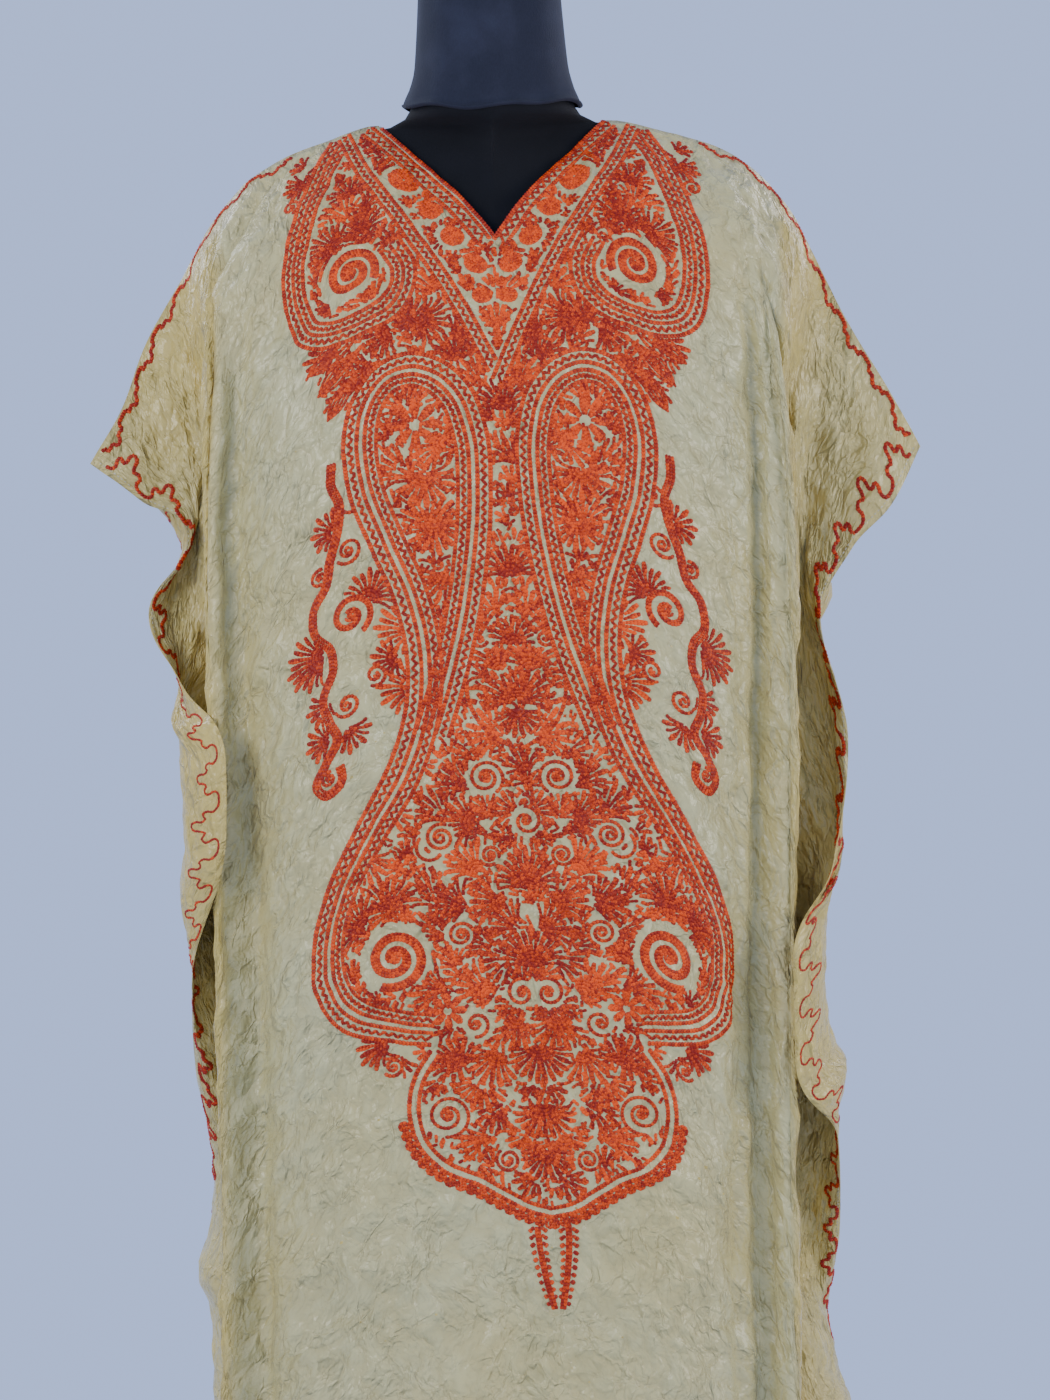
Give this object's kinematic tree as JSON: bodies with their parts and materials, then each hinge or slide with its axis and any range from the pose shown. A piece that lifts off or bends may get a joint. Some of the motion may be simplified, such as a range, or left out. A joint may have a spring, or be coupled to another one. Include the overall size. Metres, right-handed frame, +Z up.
{
  "type": "kaftan on a dress form",
  "caption": "Loose V-neck kaftan of crushed silk with paisley chain-stitch embroidery, hanging on a limbless dress form with a round stand.",
  "frame": {"origin": "on the floor, under the middle of the round base", "axes": "+Z up, -Y towards the front of the kaftan, +X to the viewer's right"},
  "size_m": [0.6532, 0.33, 1.7553],
  "materials": {
    "silk": "crushed silk with a soft sheen",
    "jersey": "matt black jersey",
    "knit": "dark navy knit",
    "wood": "varnished",
    "metal": "satin"
  },
  "bodies": {
    "root": {"kaftan_front": "silk", "kaftan_back": "silk", "form_body": "jersey", "form_neck_cover": "knit", "form_neck_cap": "wood", "stand_pole": "metal", "stand_base": "metal"}
  },
  "joints": []
}
